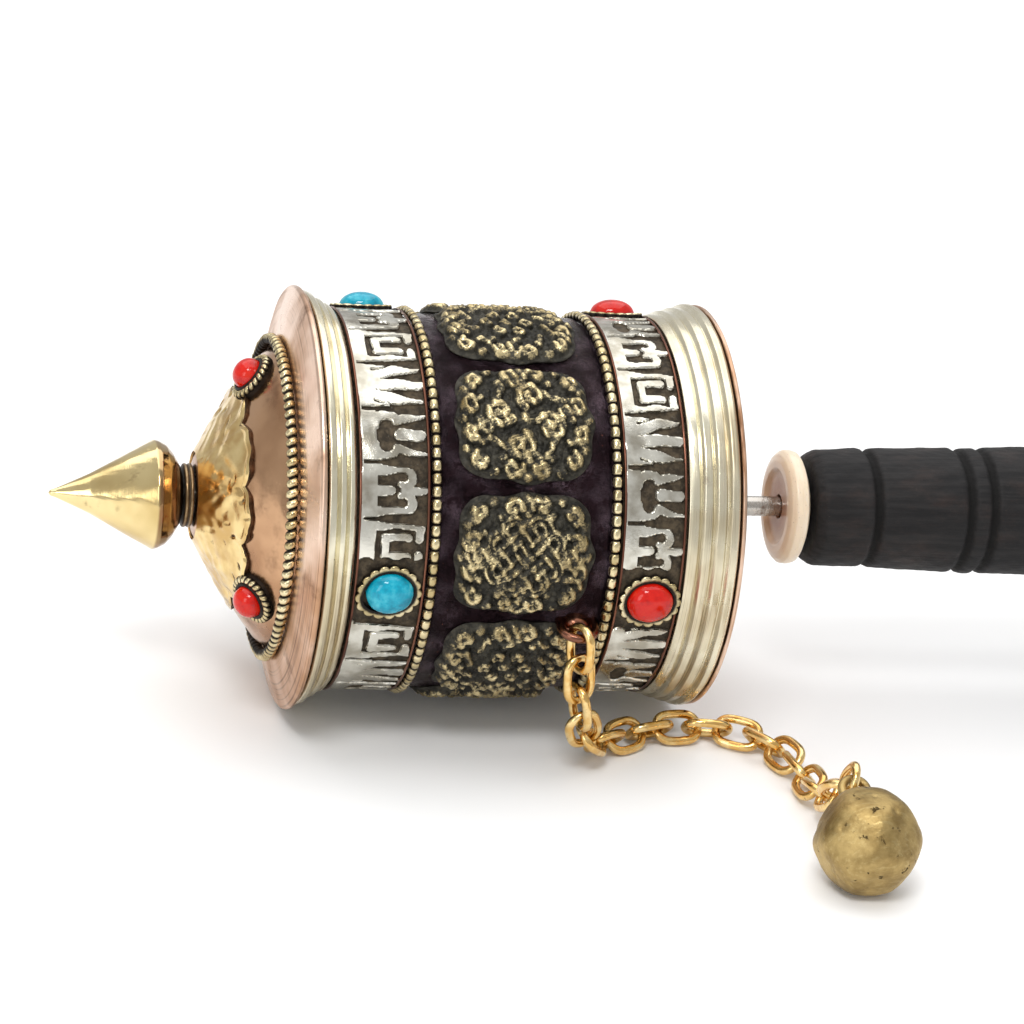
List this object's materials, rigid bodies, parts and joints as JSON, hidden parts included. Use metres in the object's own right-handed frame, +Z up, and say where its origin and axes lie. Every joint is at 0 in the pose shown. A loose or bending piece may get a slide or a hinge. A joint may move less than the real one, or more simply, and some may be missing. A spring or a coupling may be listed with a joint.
{
  "type": "hand prayer wheel",
  "caption": "Hand-held prayer wheel lying on its side: a lidded, banded drum that spins on a steel axle above a turned wooden handle, with a weighted chain.",
  "frame": {"origin": "on the surface the wheel lies on, under the middle of its bounding box", "axes": "+X along the wheel's axis from the finial's tip to the handle's butt, +Z up, the chain and weight towards -Y"},
  "size_m": [0.246, 0.1082, 0.066],
  "materials": {
    "handle_wood": "dark waxed wood, worn",
    "axle_steel": "bare steel",
    "washer_bone": "polished bone",
    "shell_copper": "dark patinated copper, glossy",
    "lid_copper": "burnished copper",
    "white_metal": "worn nickel silver on a dark ground",
    "bead_brass": "antique brass beads",
    "relief_brass": "antique brass relief, dark recesses",
    "finial_brass": "polished brass",
    "eye_copper": "dark copper wire",
    "chain_gilt": "gilt brass",
    "weight_brass": "dull cast brass",
    "turquoise": "polished turquoise",
    "coral": "polished red coral",
    "paper": "rolled paper"
  },
  "bodies": {
    "handle": {"handle_grip": "handle_wood", "axle_rod": "axle_steel"},
    "washer": {"bone_washer": "washer_bone"},
    "tube": {"core_tube": "lid_copper"},
    "drum": {"drum_shell": "shell_copper", "base_plate": "lid_copper", "base_moulding": "white_metal", "base_bush": "washer_bone", "upper_band": "white_metal", "lower_band": "white_metal", "upper_bead_wire": "bead_brass", "lower_bead_wire": "bead_brass", "mantra_scroll": "paper", "chain_eye": "eye_copper", "medallion_1": "relief_brass", "medallion_2": "relief_brass", "medallion_3": "relief_brass", "medallion_4": "relief_brass", "medallion_5": "relief_brass", "medallion_6": "relief_brass", "medallion_7": "relief_brass", "medallion_8": "relief_brass", "medallion_9": "relief_brass", "coral_stone_1": "coral", "coral_stone_2": "coral", "coral_stone_3": "coral", "turquoise_stone_1": "turquoise", "turquoise_stone_2": "turquoise", "turquoise_stone_3": "turquoise"},
    "lid": {"lid_plate": "lid_copper", "lid_dome": "lid_copper", "lotus_plate": "finial_brass", "dome_rope_ring": "bead_brass", "lid_moulding": "white_metal", "dome_coral_1": "coral", "dome_coral_2": "coral", "dome_coral_3": "coral"},
    "finial": {"finial_spike": "finial_brass", "finial_collar": "relief_brass"},
    "links_01_02": {"chain_link_01": "chain_gilt", "chain_link_02": "chain_gilt"},
    "links_03_04": {"chain_link_03": "chain_gilt", "chain_link_04": "chain_gilt"},
    "links_05_07": {"chain_link_05": "chain_gilt", "chain_link_06": "chain_gilt", "chain_link_07": "chain_gilt"},
    "links_08_10": {"chain_link_08": "chain_gilt", "chain_link_09": "chain_gilt", "chain_link_10": "chain_gilt"},
    "links_11_13": {"chain_link_11": "chain_gilt", "chain_link_12": "chain_gilt", "chain_link_13": "chain_gilt"},
    "links_14_16": {"chain_link_14": "chain_gilt", "chain_link_15": "chain_gilt", "chain_link_16": "chain_gilt"},
    "links_17_19": {"chain_link_17": "chain_gilt", "chain_link_18": "chain_gilt", "chain_link_19": "chain_gilt"},
    "weight": {"weight_ball": "weight_brass", "weight_loop": "weight_brass"}
  },
  "joints": [
    {"name": "drum_slide", "type": "slide", "parent": "handle", "child": "tube", "axis": [1, 0, 0], "range_m": [0, 0.01]},
    {"name": "drum_spin", "type": "hinge", "parent": "tube", "child": "drum", "pos_m": [-0.054, 0.0211, 0.033], "axis": [-1, 0, 0], "continuous": true},
    {"name": "washer_spin", "type": "hinge", "parent": "handle", "child": "washer", "pos_m": [-0.054, 0.0211, 0.033], "axis": [-1, 0, 0], "continuous": true},
    {"name": "finial_lift", "type": "slide", "parent": "handle", "child": "finial", "axis": [-1, 0, 0], "range_m": [0, 0.045]},
    {"name": "lid_lift", "type": "slide", "parent": "drum", "child": "lid", "axis": [-1, 0, 0], "range_m": [0, 0.027]},
    {"name": "chain_swing", "type": "hinge", "parent": "drum", "child": "links_01_02", "pos_m": [-0.0452, -0.01137, 0.02399], "axis": [-1, 0, 0], "range_deg": [0, 90]},
    {"name": "links_03_04_bend", "type": "hinge", "parent": "links_01_02", "child": "links_03_04", "pos_m": [-0.04451, -0.01131, 0.0148], "axis": [-0.7995, 0.5985, -0.051], "range_deg": [0, 22.53]},
    {"name": "links_05_07_bend", "type": "hinge", "parent": "links_03_04", "child": "links_05_07", "pos_m": [-0.04169, -0.00828, 0.00607], "axis": [-0.6409, 0.7654, 0.0579], "range_deg": [0, 50.37]},
    {"name": "links_08_10_bend", "type": "hinge", "parent": "links_05_07", "child": "links_08_10", "pos_m": [-0.03108, 0.00086, 0.00248], "axis": [-0.0302, 0.3983, 0.9168], "range_deg": [0, 39.08]},
    {"name": "links_11_13_bend", "type": "hinge", "parent": "links_08_10", "child": "links_11_13", "pos_m": [-0.0166, 0.0019, 0.0025], "axis": [-0.0011, -0.0035, 1], "range_deg": [0, 58.22]},
    {"name": "links_14_16_bend", "type": "hinge", "parent": "links_11_13", "child": "links_14_16", "pos_m": [-0.00825, -0.00955, 0.00247], "axis": [0.1714, 0.1217, 0.9776], "range_deg": [0, 35.3]},
    {"name": "links_17_19_bend", "type": "hinge", "parent": "links_14_16", "child": "links_17_19", "pos_m": [-0.00791, -0.02434, 0.00424], "axis": [0.9985, 0.0278, 0.0468], "range_deg": [0, 30.24]},
    {"name": "weight_bend", "type": "hinge", "parent": "links_17_19", "child": "weight", "pos_m": [-0.008, -0.03538, 0.01251], "axis": [-1, 0, 0], "range_deg": [0, 63.64]}
  ],
  "couplings": [
    {"joint": "lid_lift", "follows": "finial_lift", "ratio": 0.6},
    {"joint": "links_03_04_bend", "follows": "chain_swing", "ratio": 0.25022},
    {"joint": "links_05_07_bend", "follows": "chain_swing", "ratio": 0.55957},
    {"joint": "links_08_10_bend", "follows": "chain_swing", "ratio": 0.43406},
    {"joint": "links_11_13_bend", "follows": "chain_swing", "ratio": 0.64679},
    {"joint": "links_14_16_bend", "follows": "chain_swing", "ratio": 0.39214},
    {"joint": "links_17_19_bend", "follows": "chain_swing", "ratio": 0.33586},
    {"joint": "weight_bend", "follows": "chain_swing", "ratio": 0.70697}
  ]
}
